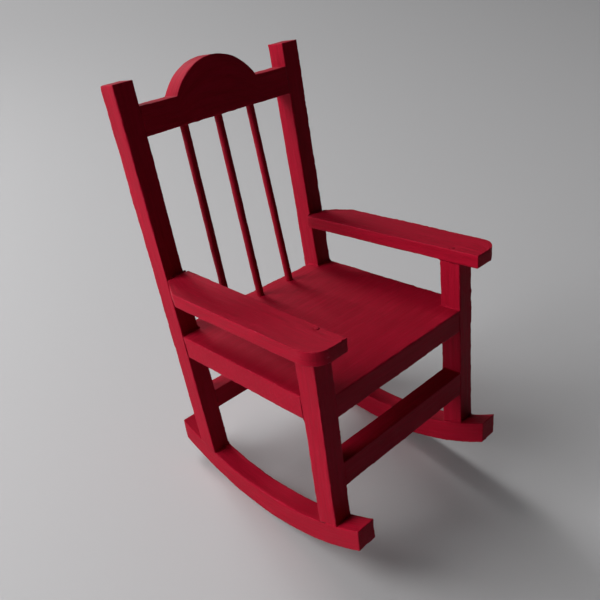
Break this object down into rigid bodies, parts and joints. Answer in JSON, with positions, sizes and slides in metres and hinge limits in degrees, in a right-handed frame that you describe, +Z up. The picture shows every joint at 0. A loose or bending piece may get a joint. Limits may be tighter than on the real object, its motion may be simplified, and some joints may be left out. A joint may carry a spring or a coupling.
{
  "type": "miniature rocking chair",
  "caption": "Red painted wooden dolls house rocking chair with curved rockers, flat armrests, round back spindles and a crest rail with a half-round top.",
  "frame": {"origin": "centre of the bounding box's footprint on the floor, with the chair leaned back to where it balances on its rockers", "axes": "+Z up, the chair faces -Y, +X is the sitter's left, X runs across the seat"},
  "size_m": [0.0574, 0.0722, 0.0952],
  "materials": {
    "red_paint": "brushed satin red paint over sawn wood",
    "painted_brad": "brad head under the same red paint"
  },
  "bodies": {
    "root": {"rocker_left": "red_paint", "rocker_right": "red_paint", "front_leg_left": "red_paint", "front_leg_right": "red_paint", "back_post_left": "red_paint", "back_post_right": "red_paint", "seat_board": "red_paint", "armrest_left": "red_paint", "armrest_right": "red_paint", "crest_rail": "red_paint", "spindle_left": "red_paint", "spindle_middle": "red_paint", "spindle_right": "red_paint", "front_stretcher": "red_paint", "back_stretcher": "red_paint", "arm_brad_left": "painted_brad", "arm_brad_right": "painted_brad"}
  },
  "joints": []
}
